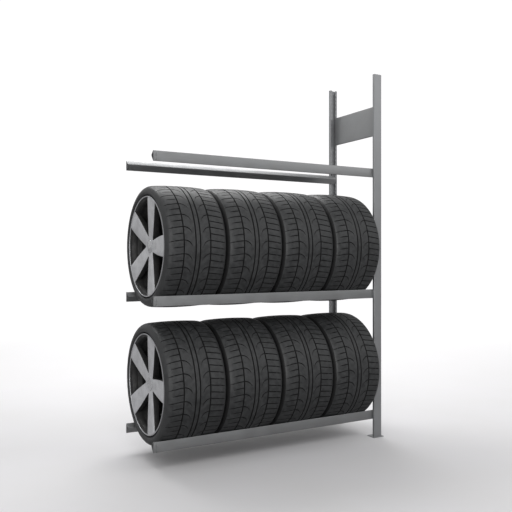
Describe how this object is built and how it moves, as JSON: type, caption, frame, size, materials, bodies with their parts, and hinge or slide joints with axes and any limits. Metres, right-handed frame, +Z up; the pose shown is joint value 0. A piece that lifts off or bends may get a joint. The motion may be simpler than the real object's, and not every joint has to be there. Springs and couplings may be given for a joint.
{
  "type": "tyre storage rack",
  "caption": "Add-on bay of a steel tyre rack: one end frame and levels of paired cradle beams that hold alloy wheels with low-profile tyres side by side.",
  "frame": {"origin": "on the floor, under the middle of the rack's box (mid length, mid depth)", "axes": "+X along the beams towards the end frame, +Y from the front to the rear, +Z up"},
  "size_m": [1.3345, 0.5972, 2],
  "materials": {
    "frame_steel": "silver-grey coated steel sheet, satin",
    "beam_steel": "silver-grey coated steel sheet, semi-gloss",
    "panel_steel": "silver-grey coated steel sheet, satin",
    "zinc_screws": "zinc plated",
    "pin_black": "black moulded plastic",
    "tyre_rubber": "black tyre rubber",
    "alloy_rim": "silver lacquered spokes, dark pockets and barrel",
    "cap_metal": "polished cap"
  },
  "bodies": {
    "rack": {"front_foot_plate": "frame_steel", "front_foot_screw": "zinc_screws", "front_upright": "frame_steel", "level_1_front_beam": "beam_steel", "level_1_front_lock_pin": "pin_black", "level_1_rear_beam": "beam_steel", "level_1_rear_lock_pin": "pin_black", "level_2_front_beam": "beam_steel", "level_2_front_lock_pin": "pin_black", "level_2_rear_beam": "beam_steel", "level_2_rear_lock_pin": "pin_black", "level_3_front_beam": "beam_steel", "level_3_front_lock_pin": "pin_black", "level_3_rear_beam": "beam_steel", "level_3_rear_lock_pin": "pin_black", "lower_frame_panel": "panel_steel", "lower_panel_front_bottom_screw": "zinc_screws", "lower_panel_front_top_screw": "zinc_screws", "lower_panel_rear_bottom_screw": "zinc_screws", "lower_panel_rear_top_screw": "zinc_screws", "middle_frame_panel": "panel_steel", "middle_panel_front_bottom_screw": "zinc_screws", "middle_panel_front_top_screw": "zinc_screws", "middle_panel_rear_bottom_screw": "zinc_screws", "middle_panel_rear_top_screw": "zinc_screws", "rear_foot_plate": "frame_steel", "rear_foot_screw": "zinc_screws", "rear_upright": "frame_steel", "upper_frame_panel": "panel_steel", "upper_panel_front_bottom_screw": "zinc_screws", "upper_panel_front_top_screw": "zinc_screws", "upper_panel_rear_bottom_screw": "zinc_screws", "upper_panel_rear_top_screw": "zinc_screws"},
    "level_1_wheel_1": {"level_1_wheel_1_centre_cap": "cap_metal", "level_1_wheel_1_rim": "alloy_rim", "level_1_wheel_1_tyre": "tyre_rubber"},
    "level_1_wheel_2": {"level_1_wheel_2_centre_cap": "cap_metal", "level_1_wheel_2_rim": "alloy_rim", "level_1_wheel_2_tyre": "tyre_rubber"},
    "level_1_wheel_3": {"level_1_wheel_3_centre_cap": "cap_metal", "level_1_wheel_3_rim": "alloy_rim", "level_1_wheel_3_tyre": "tyre_rubber"},
    "level_1_wheel_4": {"level_1_wheel_4_centre_cap": "cap_metal", "level_1_wheel_4_rim": "alloy_rim", "level_1_wheel_4_tyre": "tyre_rubber"},
    "level_2_wheel_1": {"level_2_wheel_1_centre_cap": "cap_metal", "level_2_wheel_1_rim": "alloy_rim", "level_2_wheel_1_tyre": "tyre_rubber"},
    "level_2_wheel_2": {"level_2_wheel_2_centre_cap": "cap_metal", "level_2_wheel_2_rim": "alloy_rim", "level_2_wheel_2_tyre": "tyre_rubber"},
    "level_2_wheel_3": {"level_2_wheel_3_centre_cap": "cap_metal", "level_2_wheel_3_rim": "alloy_rim", "level_2_wheel_3_tyre": "tyre_rubber"},
    "level_2_wheel_4": {"level_2_wheel_4_centre_cap": "cap_metal", "level_2_wheel_4_rim": "alloy_rim", "level_2_wheel_4_tyre": "tyre_rubber"}
  },
  "joints": [
    {"name": "level_1_wheel_1_turn", "type": "hinge", "parent": "rack", "child": "level_1_wheel_1", "pos_m": [-0.48675, 0, 0.37719], "axis": [1, 0, 0], "continuous": true},
    {"name": "level_1_wheel_2_turn", "type": "hinge", "parent": "rack", "child": "level_1_wheel_2", "pos_m": [-0.17805, 0, 0.37719], "axis": [1, 0, 0], "continuous": true},
    {"name": "level_1_wheel_3_turn", "type": "hinge", "parent": "rack", "child": "level_1_wheel_3", "pos_m": [0.13065, 0, 0.37719], "axis": [1, 0, 0], "continuous": true},
    {"name": "level_1_wheel_4_turn", "type": "hinge", "parent": "rack", "child": "level_1_wheel_4", "pos_m": [0.43935, 0, 0.37719], "axis": [1, 0, 0], "continuous": true},
    {"name": "level_2_wheel_1_turn", "type": "hinge", "parent": "rack", "child": "level_2_wheel_1", "pos_m": [-0.48675, 0, 1.04409], "axis": [1, 0, 0], "continuous": true},
    {"name": "level_2_wheel_2_turn", "type": "hinge", "parent": "rack", "child": "level_2_wheel_2", "pos_m": [-0.17805, 0, 1.04409], "axis": [1, 0, 0], "continuous": true},
    {"name": "level_2_wheel_3_turn", "type": "hinge", "parent": "rack", "child": "level_2_wheel_3", "pos_m": [0.13065, 0, 1.04409], "axis": [1, 0, 0], "continuous": true},
    {"name": "level_2_wheel_4_turn", "type": "hinge", "parent": "rack", "child": "level_2_wheel_4", "pos_m": [0.43935, 0, 1.04409], "axis": [1, 0, 0], "continuous": true}
  ]
}
